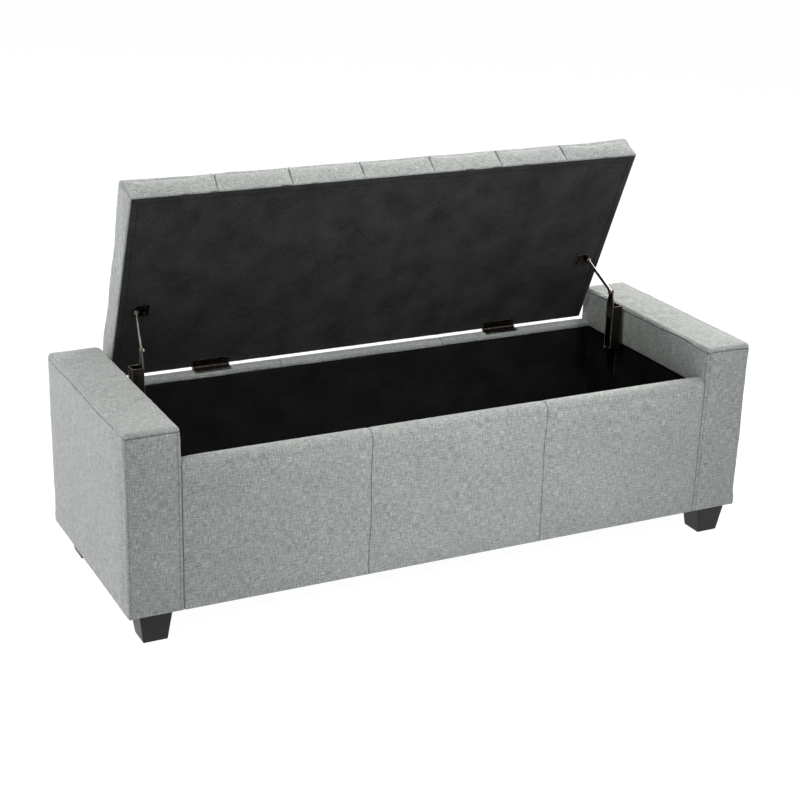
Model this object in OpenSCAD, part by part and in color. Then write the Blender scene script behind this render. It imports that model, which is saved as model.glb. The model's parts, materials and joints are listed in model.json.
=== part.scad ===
// Storage bench: an upholstered box between two box arms, with a padded lid that is hinged
// at the rear and held by a folding stay at each side. Lengths are in millimetres, +Z is up
// and +Y points to the rear. The origin is on the floor, in the middle of the footprint that
// the bench has with its lid open. The lid is drawn closed and then turned to its open place.

/* [Bench] */
// Width over both arms
bench_w = 1300; // [1150:10:1450]
// Depth of the body from its front face to its rear face
body_d = 460; // [440:5:500]
// Height of the arm tops above the floor
bench_h = 407; // [395:1:430]
// Height of the body's underside above the floor
foot_h = 57; // [45:1:65]

/* [Arms and walls] */
// Width of one box arm
arm_w = 102; // [90:1:120]
// Padded thickness of the front wall and of the rear wall
wall_t = 34; // [34:1:40]
// Thickness of the plywood boards
board_t = 15; // [12:1:15]
// Thickness of the foam on the boards
foam_t = 8; // [6:1:8]
// Thickness of the outer fabric
fabric_t = 1.5; // [1:0.5:1.5]
// Thickness of the black lining cloth
lining_t = 1.5; // [1:0.5:1.5]
// Distance from the arm tops down to the lining's upper edge
lining_drop = 83; // [80:1:90]

/* [Floor] */
// Thickness of the storage floor board
floor_t = 9; // [6:1:12]
// Height of the battens under the storage floor
batten_h = 25; // [20:1:40]
// Width of the battens under the storage floor
batten_w = 20; // [15:1:30]

/* [Rear rail] */
// Thickness of the wooden rail that the hinges are screwed to
rail_t = 20; // [18:1:20]
// Height of the wooden rail
rail_h = 45; // [35:1:60]

/* [Feet] */
// Side of the foot's square top
foot_top = 62; // [50:1:66]
// Side of the foot's square bottom
foot_bottom = 46; // [35:1:50]
// Distance from the body's front face to the top of a front foot
foot_inset_front = 4; // [2:1:12]
// Distance from the body's rear face to the top of a rear foot
foot_inset_rear = 20; // [2:1:30]

/* [Lid] */
// Angle that the lid is open, from closed
lid_open = 67; // [60:1:72]
// Gap between the lid's side and the arm
lid_gap = 14; // [14:1:20]
// Distance from the hinge axis to the lid's front edge
lid_reach = 426; // [410:1:440]
// Thickness of the padded lid
lid_t = 57; // [50:1:60]

/* [Hinges] */
// Distance from the bench's middle to the middle of each hinge
hinge_x = 327; // [250:1:400]
// Distance from the arm tops down to the hinge axis
hinge_drop = 65; // [63:1:68]
// Distance from the body's rear face to the hinge axis
hinge_inset = 16; // [15:1:17]
// Length of a hinge
hinge_len = 76; // [60:1:90]
// Width of a leaf, from the axis to its edge
leaf_w = 18; // [17:1:18]

/* [Stays] */
// Distance from the hinge axis to the base pivot, forwards
stay_base_reach = 102; // [100:1:104]
// Height of the stay's base pivot above the floor
stay_base_z = 304; // [302:1:306]
// Distance from the hinge axis to the stay's elbow, forwards, with the lid open
stay_elbow_reach = 140; // [138:1:142]
// Height of the stay's elbow above the floor, with the lid open
stay_elbow_z = 442; // [440:1:444]
// Distance from the hinge axis to the pivot on the lid, along the lid
stay_lid_reach = 164; // [163:1:165]

/* [Hidden] */
$fn = 48;

LEFT = -1;
RIGHT = 1;

fabric_color = [0.62, 0.65, 0.64];
lining_color = [0.06, 0.06, 0.06];
foam_color = [0.93, 0.90, 0.78];
wood_color = [0.80, 0.66, 0.45];
foot_color = [0.10, 0.10, 0.10];
bronze_color = [0.30, 0.26, 0.22];
steel_color = [0.62, 0.60, 0.57];

// Small distances that many parts share
pad = foam_t + fabric_t;
over = 1;
barrel_r = 3.5;

// The lid's open rear corner stands behind the body, and the footprint includes it
lid_rear_lip = 1;
lid_corner_h = barrel_r + lid_t;
rear_overhang = lid_rear_lip * cos(lid_open) + lid_corner_h * sin(lid_open) - hinge_inset;
front_y = -(body_d + rear_overhang) / 2;
back_y = front_y + body_d;
half_w = bench_w / 2;
arm_in = half_w - arm_w;
board_in = arm_in + pad;
body_z = foot_h;
base_z = body_z + lining_t;
lining_top = bench_h - lining_drop;

// Hinge axis, and the levels that follow from it
hinge_y = back_y - hinge_inset;
hinge_z = bench_h - hinge_drop;
lid_bottom = hinge_z + barrel_r;
rail_top = hinge_z - barrel_r;
front_gap = 0.5;
front_top = lid_bottom - front_gap;

// Front and rear walls
front_in = front_y + wall_t;
front_roll_r = wall_t / 2;
front_board_top = front_top - pad;
rear_in = back_y - wall_t;
rear_roll_r = 17;
rear_edge_r = 8;
rail_pad = 3;
rail_in = back_y - pad - rail_t;
rail_z = rail_top - fabric_t - rail_pad;
rear_board_in = back_y - pad - board_t;

// Storage floor
floor_z = base_z + batten_h;
floor_top = floor_z + floor_t;
front_board_in = front_y + pad + board_t;

// Feet and their bolts
foot_x = half_w - arm_w / 2;
foot_front_y = front_y + foot_inset_front + foot_top / 2;
foot_rear_y = back_y - foot_inset_rear - foot_top / 2;
foot_bolt_r = 4;
foot_bolt_depth = 30;
foot_pocket = foot_top + 4;

// Lid layers
lid_lining_t = 1;
lid_half = arm_in - lid_gap;
lid_front_y = hinge_y - lid_reach;
lid_rear_y = hinge_y + lid_rear_lip;
lid_top = lid_bottom + lid_t;

// Hinge details
leaf_t = 1.8;
pin_r = 1.6;
pin_fit = 0.05;
knuckles = 5;
knuckle_len = hinge_len / knuckles;
knuckle_gap = 0.15;
leaf_notch = 0.7;
hinge_screw_y = -11.5;
hinge_screw_pitch = 27;
hinge_screw_r = 1.9;
hinge_screw_head_r = 3.2;
hinge_screw_head_h = 1.2;
body_screw_len = 16;
lid_screw_len = 12;

// Stay planes, as distances from the bench's middle, from the arm inwards
stay_plate_t = 2;
stay_base_face = board_in - lining_t;
stay_base_in = stay_base_face - 2.5;
lever_out = 537;
lever_in = 514;
link_out = 513.4;
link_t = 2.4;
link_lid_out = 501.8;
bracket_out = 499;
bracket_in = 472;

// Stay pivots in the YZ plane, with the lid open
stay_pivot_drop = 3.5;
stay_base_y = hinge_y - stay_base_reach;
stay_elbow_y = hinge_y - stay_elbow_reach;
stay_lid_y = hinge_y - stay_lid_reach * cos(lid_open) - stay_pivot_drop * sin(lid_open);
stay_lid_z = hinge_z + stay_lid_reach * sin(lid_open) - stay_pivot_drop * cos(lid_open);
elbow_dy = stay_elbow_y - stay_base_y;
elbow_dz = stay_elbow_z - stay_base_z;
link_dy = stay_lid_y - stay_elbow_y;
link_dz = stay_lid_z - stay_elbow_z;
link_len = norm([link_dy, link_dz]);
link_tilt = -atan2(link_dy, link_dz);

// The pivot on the lid, as it lies with the lid closed
bracket_y = hinge_y - stay_lid_reach;
bracket_z = hinge_z - stay_pivot_drop;

// Stay details
channel_y0 = elbow_dy - 12.5;
channel_y1 = elbow_dy + 12.5;
channel_z0 = 16;
channel_z1 = 108;
fin_start = 82;
ear_top = 62;
ear_r = 11;
eye_r = 6;
boss_r = 7;
base_rivet_r = 3;
small_rivet_r = 2.5;
rivet_fit = 0.05;
stay_screw_r = 2;
stay_screw_drops = [18, 32, 46];
stay_screw_len = 14;
bracket_screw_ys = [-8, 8];
bracket_screw_x = 480;
spring_x = (lever_in + lever_out) / 2;
spring_post_r = 1.5;
spring_low = 30;
spring_high = 75;
spring_r = 6;
spring_wire = 1.6;

// ---------- shared shapes ----------

module block(x0, x1, y0, y1, z0, z1) {
    translate([x0, y0, z0]) cube([x1 - x0, y1 - y0, z1 - z0]);
}

// Everything sided is drawn for the right side and mirrored for the left
module on_side(side) {
    if (side == RIGHT) children();
    else mirror([1, 0, 0]) children();
}

module on_both_sides() {
    on_side(RIGHT) children();
    on_side(LEFT) children();
}

// Extrudes a YZ outline along X, centred on the bench's middle
module along_x(length) {
    rotate([90, 0, 90]) linear_extrude(length, center = true) children();
}

// A cylinder along X from x0 to x1, at y, z
module rod_x(x0, x1, y, z, r) {
    translate([x0, y, z]) rotate([0, 90, 0]) cylinder(h = x1 - x0, r = r);
}

// Turns what is drawn for the closed lid to the open lid's place
module lid_opened() {
    translate([0, hinge_y, hinge_z])
        rotate([-lid_open, 0, 0])
            translate([0, -hinge_y, -hinge_z]) children();
}

// YZ outline of a padded wall with a rounded top, shrunk by inset
module wall_outline(y0, y1, top, r0, r1, inset, bottom) {
    translate([y0 + inset, bottom]) square([r0 - inset, top - r0 - bottom]);
    translate([y1 - r1, bottom]) square([r1 - inset, top - r1 - bottom]);
    translate([y0 + r0, top - r0]) circle(r = r0 - inset);
    translate([y1 - r1, top - r1]) circle(r = r1 - inset);
    if (y1 - r1 > y0 + r0)
        translate([y0 + r0, bottom]) square([y1 - r1 - y0 - r0, top - inset - bottom]);
}

// ---------- arms ----------

module arm_envelope(inset, bottom) {
    block(arm_in + inset, half_w - inset, front_y + inset, back_y - inset, bottom, bench_h - inset);
}

// Below the lining's edge the arm's inner side has no padding, and none where a wall meets it
module arm_inner_opening(inset) {
    block(arm_in - over, board_in, front_y + inset, back_y - inset, body_z - over, lining_top);
    block(arm_in - over, board_in, front_y + pad, front_in, lining_top - over, front_top);
    block(arm_in - over, board_in, rear_in, back_y - pad, lining_top - over, rail_top);
}

module arm_cover(side) {
    color(fabric_color) on_side(side) difference() {
        arm_envelope(0, body_z);
        arm_envelope(fabric_t, body_z - over);
        arm_inner_opening(fabric_t);
    }
}

module arm_padding(side) {
    color(foam_color) on_side(side) difference() {
        arm_envelope(fabric_t, base_z);
        arm_envelope(pad, base_z - over);
        arm_inner_opening(pad);
    }
}

module arm_outer_board(side) {
    color(wood_color) on_side(side)
        block(half_w - pad - board_t, half_w - pad, front_y + pad, back_y - pad,
              base_z, bench_h - pad - board_t);
}

module arm_inner_board(side) {
    color(wood_color) on_side(side) difference() {
        block(board_in, board_in + board_t, front_y + pad, back_y - pad,
              base_z, bench_h - pad - board_t);
        stay_screw_shanks();
    }
}

module arm_top_board(side) {
    color(wood_color) on_side(side)
        block(board_in, half_w - pad, front_y + pad, back_y - pad,
              bench_h - pad - board_t, bench_h - pad);
}

module arm_end_board(y) {
    block(board_in + board_t, half_w - pad - board_t, y, y + board_t,
          base_z + board_t, bench_h - pad - board_t);
}

module arm_end_boards() {
    color(wood_color) on_both_sides() {
        arm_end_board(front_y + pad);
        arm_end_board(back_y - pad - board_t);
    }
}

module arm_bottom_boards() {
    color(wood_color) on_both_sides() difference() {
        block(board_in + board_t, half_w - pad - board_t, front_y + pad, back_y - pad,
              base_z, base_z + board_t);
        foot_bolt_shanks();
    }
}

// ---------- front wall ----------

module front_outline(inset, bottom) {
    wall_outline(front_y, front_in, front_top, front_roll_r, front_roll_r, inset, bottom);
}

module front_cover() {
    color(fabric_color) along_x(2 * arm_in) difference() {
        front_outline(0, body_z);
        front_outline(fabric_t, body_z - over);
        translate([front_y + front_roll_r, body_z - over])
            square([wall_t, lining_top - body_z + over]);
    }
}

module front_padding() {
    color(foam_color) along_x(2 * arm_in) difference() {
        front_outline(fabric_t, base_z);
        translate([front_y + pad, base_z - over])
            square([board_t, front_board_top - base_z + over]);
        translate([front_y + pad, base_z - over])
            square([wall_t, lining_top - base_z + over]);
    }
}

module front_board() {
    color(wood_color)
        block(-board_in, board_in, front_y + pad, front_board_in, base_z, front_board_top);
}

// ---------- rear wall ----------

module rear_outline(inset, bottom) {
    wall_outline(rear_in, back_y, rail_top, rear_edge_r, rear_roll_r, inset, bottom);
}

module rear_cover() {
    color(fabric_color) difference() {
        along_x(2 * arm_in) difference() {
            rear_outline(0, body_z);
            rear_outline(fabric_t, body_z - over);
            translate([rear_in - over, body_z - over])
                square([rear_edge_r + over, lining_top - body_z + over]);
        }
        hinge_body_screw_shanks();
    }
}

module rear_padding() {
    color(foam_color) difference() {
        along_x(2 * arm_in) difference() {
            rear_outline(fabric_t, base_z);
            translate([rail_in, base_z - over]) square([rail_t, rail_z - base_z + over]);
            translate([rear_in, base_z - over])
                square([wall_t - pad, lining_top - base_z + over]);
        }
        hinge_body_screw_shanks();
    }
}

module rear_rail() {
    color(wood_color) difference() {
        block(-board_in, board_in, rail_in, back_y - pad, rail_z - rail_h, rail_z);
        hinge_body_screw_shanks();
    }
}

module rear_board() {
    color(wood_color)
        block(-board_in, board_in, rear_board_in, back_y - pad, base_z, rail_z - rail_h);
}

// ---------- floor, linings and dust cover ----------

module floor_battens() {
    color(wood_color) {
        block(-board_in, board_in, front_board_in, front_board_in + batten_w, base_z, floor_z);
        block(-board_in, board_in, rear_board_in - batten_w, rear_board_in, base_z, floor_z);
    }
}

module floor_board() {
    color(wood_color)
        block(-board_in, board_in, front_board_in, rear_board_in, floor_z, floor_top);
}

module floor_lining() {
    color(lining_color)
        block(-stay_base_face, stay_base_face, front_board_in + lining_t, rail_in - lining_t,
              floor_top, floor_top + lining_t);
}

module front_lining() {
    color(lining_color)
        block(-board_in, board_in, front_board_in, front_board_in + lining_t,
              floor_top, lining_top);
}

module rear_lining() {
    color(lining_color)
        block(-board_in, board_in, rail_in - lining_t, rail_in, floor_top, lining_top);
}

module side_lining(side) {
    color(lining_color) on_side(side) difference() {
        block(stay_base_face, board_in, front_board_in + lining_t, rail_in - lining_t,
              floor_top, lining_top);
        stay_screw_shanks();
    }
}

module foot_pocket_at(y) {
    translate([foot_x, y, body_z]) cube([foot_pocket, foot_pocket, 3 * lining_t], center = true);
}

module dust_cover() {
    color(lining_color) difference() {
        block(-half_w + pad, half_w - pad, front_y + pad, back_y - pad, body_z, base_z);
        on_both_sides() {
            foot_pocket_at(foot_front_y);
            foot_pocket_at(foot_rear_y);
        }
    }
}

// ---------- feet ----------

module foot_taper() {
    rotate([90, 0, 0]) linear_extrude(2 * foot_top, center = true)
        polygon([[-foot_bottom / 2, 0], [foot_bottom / 2, 0],
                 [foot_top / 2, base_z], [-foot_top / 2, base_z]]);
}

module foot(side, y) {
    color(foot_color) on_side(side) difference() {
        translate([foot_x, y, 0]) intersection() {
            foot_taper();
            rotate([0, 0, 90]) foot_taper();
        }
        foot_bolt_shanks();
    }
}

module foot_bolt_shank(y) {
    translate([foot_x, y, base_z - foot_bolt_depth])
        cylinder(h = foot_bolt_depth + board_t, r = foot_bolt_r);
}

module foot_bolt_shanks() {
    foot_bolt_shank(foot_front_y);
    foot_bolt_shank(foot_rear_y);
}

module foot_bolts() {
    color(steel_color) on_both_sides() foot_bolt_shanks();
}

// ---------- lid ----------

module lid_envelope(inset, bottom) {
    block(-lid_half + inset, lid_half - inset, lid_front_y + inset, lid_rear_y - inset,
          bottom, lid_top - inset);
}

module lid_cover() {
    color(fabric_color) lid_opened() difference() {
        lid_envelope(0, lid_bottom);
        lid_envelope(fabric_t, lid_bottom - over);
    }
}

module lid_foam() {
    color(foam_color) lid_opened() lid_envelope(fabric_t, lid_bottom + lid_lining_t + board_t);
}

module lid_board() {
    color(wood_color) lid_opened() difference() {
        block(-lid_half + fabric_t, lid_half - fabric_t, lid_front_y + fabric_t,
              lid_rear_y - fabric_t, lid_bottom + lid_lining_t, lid_bottom + lid_lining_t + board_t);
        hinge_lid_screw_shanks();
        bracket_screw_shanks();
    }
}

module lid_lining() {
    color(lining_color) lid_opened() difference() {
        block(-lid_half + fabric_t, lid_half - fabric_t, lid_front_y + fabric_t,
              lid_rear_y - fabric_t, lid_bottom, lid_bottom + lid_lining_t);
        hinge_lid_screw_shanks();
        bracket_screw_shanks();
    }
}

// ---------- hinges ----------

// Places what is drawn about the hinge axis at one hinge
module at_hinge(side) {
    translate([side * hinge_x, hinge_y, hinge_z]) children();
}

// A leaf with the knuckles whose numbers are listed, its plate between z0 and z0 + leaf_t
module hinge_leaf(own, z0) {
    difference() {
        union() {
            block(-hinge_len / 2, hinge_len / 2, -leaf_w, 0, z0, z0 + leaf_t);
            for (i = own) knuckle(i, knuckle_len - 2 * knuckle_gap, barrel_r);
        }
        for (i = [0 : knuckles - 1])
            if (len(search(i, own)) == 0) knuckle_notch(i);
        rod_x(-hinge_len, hinge_len, 0, 0, pin_r + pin_fit);
        for (x = [-hinge_screw_pitch : hinge_screw_pitch : hinge_screw_pitch])
            translate([x, hinge_screw_y, z0 - over])
                cylinder(h = leaf_t + 2 * over, r = hinge_screw_r);
    }
}

module knuckle(i, length, r) {
    middle = (i - (knuckles - 1) / 2) * knuckle_len;
    rod_x(middle - length / 2, middle + length / 2, 0, 0, r);
}

module knuckle_notch(i) {
    middle = (i - (knuckles - 1) / 2) * knuckle_len;
    notch = barrel_r + leaf_notch;
    translate([middle, 0, 0])
        cube([knuckle_len + 2 * knuckle_gap, 2 * notch, 2 * notch], center = true);
}

module hinge_body_leaf(side) {
    color(bronze_color) at_hinge(side) hinge_leaf([0, 2, 4], -barrel_r);
}

module hinge_lid_leaf(side) {
    color(bronze_color) lid_opened() at_hinge(side) hinge_leaf([1, 3], barrel_r - leaf_t);
}

module hinge_pins() {
    cap = 1;
    cap_r = 2.6;
    color(steel_color) for (side = [LEFT, RIGHT]) at_hinge(side) {
        rod_x(-hinge_len / 2, hinge_len / 2, 0, 0, pin_r);
        rod_x(-hinge_len / 2 - cap, -hinge_len / 2, 0, 0, cap_r);
        rod_x(hinge_len / 2, hinge_len / 2 + cap, 0, 0, cap_r);
    }
}

// Screws of one hinge leaf; toward is 1 where they go up from z0 and -1 where they go down
module hinge_screws(z0, toward, head_r, head_h, length) {
    for (side = [LEFT, RIGHT]) at_hinge(side)
        for (x = [-hinge_screw_pitch : hinge_screw_pitch : hinge_screw_pitch])
            translate([x, hinge_screw_y, z0]) scale([1, 1, toward]) {
                cylinder(h = length, r = hinge_screw_r);
                translate([0, 0, -head_h]) cylinder(h = head_h, r = head_r);
            }
}

module hinge_body_screw_shanks() {
    hinge_screws(-barrel_r + leaf_t, -1, hinge_screw_r, 0.1, body_screw_len);
}

module hinge_lid_screw_shanks() {
    hinge_screws(barrel_r - leaf_t, 1, hinge_screw_r, 0.1, lid_screw_len);
}

module hinge_body_screws() {
    color(bronze_color)
        hinge_screws(-barrel_r + leaf_t, -1, hinge_screw_head_r, hinge_screw_head_h,
                     body_screw_len);
}

module hinge_lid_screws() {
    color(bronze_color) lid_opened()
        hinge_screws(barrel_r - leaf_t, 1, hinge_screw_head_r, hinge_screw_head_h,
                     lid_screw_len);
}

// ---------- stays ----------

// Screw shanks of the right base, driven outwards through the lining into the arm's board
module stay_screw_shanks() {
    for (drop = stay_screw_drops)
        rod_x(stay_base_in, stay_base_in + stay_screw_len, stay_base_y, stay_base_z - drop,
              stay_screw_r);
}

module stay_base(side) {
    plate_half = 14;
    plate_up = 9;
    plate_down = 55;
    color(bronze_color) on_side(side) difference() {
        union() {
            block(stay_base_in, stay_base_face, stay_base_y - plate_half, stay_base_y + plate_half,
                  stay_base_z - plate_down, stay_base_z + plate_up);
            rod_x(lever_out + 0.6, stay_base_in, stay_base_y, stay_base_z, boss_r);
        }
        rod_x(lever_out, stay_base_face + over, stay_base_y, stay_base_z, base_rivet_r);
        stay_screw_shanks();
    }
}

module stay_base_rivets() {
    head_r = 5.5;
    head_out = lever_out - stay_plate_t - 0.4;
    color(steel_color) on_both_sides() {
        rod_x(head_out - 2, head_out, stay_base_y, stay_base_z, head_r);
        rod_x(head_out, stay_base_face, stay_base_y, stay_base_z, base_rivet_r);
    }
}

module stay_base_screws() {
    head_r = 4;
    head_h = 1.8;
    color(bronze_color) on_both_sides() {
        stay_screw_shanks();
        for (drop = stay_screw_drops)
            rod_x(stay_base_in - head_h, stay_base_in, stay_base_y, stay_base_z - drop, head_r);
    }
}

// The lever's own frame: the base pivot at the origin, with the lid open
module at_lever() {
    translate([0, stay_base_y, stay_base_z]) children();
}

// Extrudes a YZ outline from x0 to x1
module plate_x(x0, x1) {
    translate([x0, 0, 0]) rotate([90, 0, 90]) linear_extrude(x1 - x0) children();
}

// Where a line from p meets the edge of a circle about the origin, on the side given by turn
function ear_point(p, turn) =
    let (r = ear_r - 1, a = atan2(p.y, p.x) + turn * acos(r / norm(p))) [r * cos(a), r * sin(a)];

// The channel's back, with an ear that reaches to the base pivot
module lever_web() {
    low = [channel_y1 - stay_plate_t, channel_z0 + stay_plate_t];
    high = [channel_y1 - stay_plate_t, ear_top];
    plate_x(lever_out - stay_plate_t, lever_out) {
        translate([channel_y0, channel_z0])
            square([channel_y1 - channel_y0, channel_z1 - channel_z0]);
        polygon([low, ear_point(low, 1), ear_point(high, -1), high]);
        circle(r = ear_r);
    }
}

module lever_flange(y0) {
    block(lever_in, lever_out, y0, y0 + stay_plate_t, channel_z0, channel_z1);
}

// The flat plate that narrows from the channel to the elbow
module lever_fin() {
    plate_x(lever_in, lever_in + stay_plate_t) {
        polygon([[channel_y0, fin_start], [channel_y1, fin_start], [channel_y1, channel_z1],
                 [elbow_dy + eye_r, elbow_dz], [elbow_dy - eye_r, elbow_dz],
                 [channel_y0, channel_z1]]);
        translate([elbow_dy, elbow_dz]) circle(r = eye_r);
    }
}

module spring_post(z) {
    translate([spring_x, elbow_dy, z]) rotate([90, 0, 0])
        cylinder(h = channel_y1 - channel_y0 - stay_plate_t, r = spring_post_r, center = true);
}

module stay_lever(side) {
    elbow_head_r = 5;
    elbow_head_h = 1.5;
    color(bronze_color) on_side(side) at_lever() difference() {
        union() {
            lever_web();
            lever_flange(channel_y0);
            lever_flange(channel_y1 - stay_plate_t);
            lever_fin();
            spring_post(spring_low);
            spring_post(spring_high);
            rod_x(lever_in + stay_plate_t, lever_in + stay_plate_t + elbow_head_h,
                  elbow_dy, elbow_dz, elbow_head_r);
        }
        rod_x(lever_out - stay_plate_t - over, lever_out + over, 0, 0, base_rivet_r + rivet_fit);
    }
}

module stay_spring(side) {
    low = spring_low + spring_post_r;
    length = spring_high - spring_post_r - low;
    color(steel_color) on_side(side) at_lever() translate([spring_x, elbow_dy, low]) difference() {
        cylinder(h = length, r = spring_r);
        translate([0, 0, -over]) cylinder(h = length + 2 * over, r = spring_r - spring_wire);
    }
}

// The link's own frame: the elbow at the origin and the pivot on the lid straight up
module at_link() {
    translate([0, stay_elbow_y, stay_elbow_z]) rotate([link_tilt, 0, 0]) children();
}

// The link has flat ends and slants inwards from the elbow to the bracket on the lid
module stay_link(side) {
    bar_w = 8;
    flat = 8;
    color(steel_color) on_side(side) at_link() difference() {
        union() {
            rotate([90, 0, 0]) linear_extrude(bar_w, center = true)
                polygon([[link_out - link_t, 0], [link_out, 0], [link_out, flat],
                         [link_lid_out, link_len - flat], [link_lid_out, link_len],
                         [link_lid_out - link_t, link_len],
                         [link_lid_out - link_t, link_len - flat], [link_out - link_t, flat]]);
            rod_x(link_out - link_t, link_out, 0, 0, eye_r);
            rod_x(link_lid_out - link_t, link_lid_out, 0, link_len, eye_r);
        }
        rod_x(link_out - 2 * link_t, link_out + over, 0, 0, small_rivet_r);
        rod_x(link_lid_out - 2 * link_t, link_lid_out + link_t, 0, link_len,
              small_rivet_r + rivet_fit);
    }
}

// The elbow's rivet stays in the link and ends just short of the lever's plate
module stay_elbow_rivet(side) {
    head_r = 5;
    head_h = 1.8;
    tip = 0.2;
    color(steel_color) on_side(side) at_link() {
        rod_x(link_out - link_t - head_h, link_out - link_t, 0, 0, head_r);
        rod_x(link_out - link_t, link_out + tip, 0, 0, small_rivet_r);
    }
}

module bracket_screw_shanks() {
    on_both_sides() for (y = bracket_screw_ys)
        translate([bracket_screw_x, bracket_y + y, lid_bottom - stay_plate_t])
            cylinder(h = lid_screw_len, r = stay_screw_r);
}

module stay_lid_bracket(side) {
    plate_half = 13;
    tab_r = 7;
    color(bronze_color) lid_opened() difference() {
        on_side(side) difference() {
            union() {
                block(bracket_in, bracket_out, bracket_y - plate_half, bracket_y + plate_half,
                      lid_bottom - stay_plate_t, lid_bottom);
                block(bracket_out - stay_plate_t, bracket_out, bracket_y - tab_r, bracket_y + tab_r,
                      bracket_z, lid_bottom);
                rod_x(bracket_out - stay_plate_t, bracket_out, bracket_y, bracket_z, tab_r);
            }
            rod_x(bracket_in, bracket_out + over, bracket_y, bracket_z, small_rivet_r);
        }
        bracket_screw_shanks();
    }
}

module stay_lid_rivets() {
    head_r = 4.5;
    head_h = 1.6;
    play = 0.2;
    color(steel_color) lid_opened() on_both_sides() {
        rod_x(bracket_out - stay_plate_t, link_lid_out + play, bracket_y, bracket_z,
              small_rivet_r);
        rod_x(bracket_out - stay_plate_t - head_h, bracket_out - stay_plate_t,
              bracket_y, bracket_z, head_r);
        rod_x(link_lid_out + play, link_lid_out + play + head_h, bracket_y, bracket_z, head_r);
    }
}

module stay_lid_screws() {
    head_r = 3.8;
    head_h = 1.6;
    color(bronze_color) lid_opened() {
        bracket_screw_shanks();
        on_both_sides() for (y = bracket_screw_ys)
            translate([bracket_screw_x, bracket_y + y, lid_bottom - stay_plate_t - head_h])
                cylinder(h = head_h, r = head_r);
    }
}

arm_outer_board(LEFT);  // arm_outer_board_left
arm_outer_board(RIGHT);  // arm_outer_board_right
arm_inner_board(LEFT);  // arm_inner_board_left
arm_inner_board(RIGHT);  // arm_inner_board_right
arm_top_board(LEFT);  // arm_top_board_left
arm_top_board(RIGHT);  // arm_top_board_right
arm_end_boards();
arm_bottom_boards();
arm_padding(LEFT);  // arm_padding_left
arm_padding(RIGHT);  // arm_padding_right
arm_cover(LEFT);  // arm_cover_left
arm_cover(RIGHT);  // arm_cover_right
front_board();
front_padding();
front_cover();
rear_board();
rear_rail();
rear_padding();
rear_cover();
floor_battens();
floor_board();
floor_lining();
front_lining();
rear_lining();
side_lining(LEFT);  // side_lining_left
side_lining(RIGHT);  // side_lining_right
dust_cover();
foot(LEFT, foot_front_y);  // foot_front_left
foot(RIGHT, foot_front_y);  // foot_front_right
foot(LEFT, foot_rear_y);  // foot_rear_left
foot(RIGHT, foot_rear_y);  // foot_rear_right
foot_bolts();
lid_board();
lid_foam();
lid_cover();
lid_lining();
hinge_body_leaf(LEFT);  // hinge_body_leaf_left
hinge_body_leaf(RIGHT);  // hinge_body_leaf_right
hinge_lid_leaf(LEFT);  // hinge_lid_leaf_left
hinge_lid_leaf(RIGHT);  // hinge_lid_leaf_right
hinge_pins();
hinge_body_screws();
hinge_lid_screws();
stay_base(LEFT);  // stay_base_left
stay_base(RIGHT);  // stay_base_right
stay_base_rivets();
stay_base_screws();
stay_lever(LEFT);  // stay_lever_left
stay_lever(RIGHT);  // stay_lever_right
stay_spring(LEFT);  // stay_spring_left
stay_spring(RIGHT);  // stay_spring_right
stay_link(LEFT);  // stay_link_left
stay_link(RIGHT);  // stay_link_right
stay_elbow_rivet(LEFT);  // stay_elbow_rivet_left
stay_elbow_rivet(RIGHT);  // stay_elbow_rivet_right
stay_lid_bracket(LEFT);  // stay_lid_bracket_left
stay_lid_bracket(RIGHT);  // stay_lid_bracket_right
stay_lid_rivets();
stay_lid_screws();
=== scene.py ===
"""Storage bench: upholstered covers, black linings, feet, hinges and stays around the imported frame.

Lengths here are in millimetres unless a name says otherwise; meshes are made in metres.
The lid's pieces are made as the lid lies closed and are then turned to its open place.
"""

import json
import math

import bmesh
import bpy
import numpy as np
from mathutils import Matrix, Vector


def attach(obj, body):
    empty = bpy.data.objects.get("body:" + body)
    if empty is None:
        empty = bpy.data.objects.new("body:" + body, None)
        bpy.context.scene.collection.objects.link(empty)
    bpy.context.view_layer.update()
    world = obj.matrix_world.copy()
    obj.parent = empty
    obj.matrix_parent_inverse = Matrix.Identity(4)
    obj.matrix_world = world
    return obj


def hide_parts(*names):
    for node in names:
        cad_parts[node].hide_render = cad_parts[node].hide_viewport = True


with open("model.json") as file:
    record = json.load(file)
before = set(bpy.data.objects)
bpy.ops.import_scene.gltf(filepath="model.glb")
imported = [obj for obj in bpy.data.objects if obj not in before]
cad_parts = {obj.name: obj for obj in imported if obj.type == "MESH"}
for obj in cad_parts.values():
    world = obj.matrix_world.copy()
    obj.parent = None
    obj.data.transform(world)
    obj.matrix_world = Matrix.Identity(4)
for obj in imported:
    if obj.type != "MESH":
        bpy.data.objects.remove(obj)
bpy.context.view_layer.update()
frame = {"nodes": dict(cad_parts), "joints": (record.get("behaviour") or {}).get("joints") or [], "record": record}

MM = 0.001

joints = {j["name"]: j for j in frame["joints"]}
HINGE_Y, HINGE_Z = (v / MM for v in joints["lid_hinge"]["pos_m"][1:])
# How far the lid is open at rest, as in part.scad
LID_OPEN = math.radians(67)


def lid_to_open():
    """The matrix, in metres, that turns the closed lid's place to the open one."""
    pivot = Vector((0, HINGE_Y * MM, HINGE_Z * MM))
    return Matrix.Translation(pivot) @ Matrix.Rotation(-LID_OPEN, 4, "X") @ Matrix.Translation(-pivot)


def node_points(node, closed=False):
    """A CAD node's points in millimetres; closed gives them as they lie with the lid closed."""
    points = np.array([v.co for v in frame["nodes"][node].data.vertices])
    if closed:
        m = np.array(lid_to_open().inverted())
        points = points @ m[:3, :3].T + m[:3, 3]
    return points / MM


def node_box(node, closed=False):
    """Lowest and highest corner of a CAD node, in millimetres."""
    points = node_points(node, closed)
    return points.min(0), points.max(0)


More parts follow.
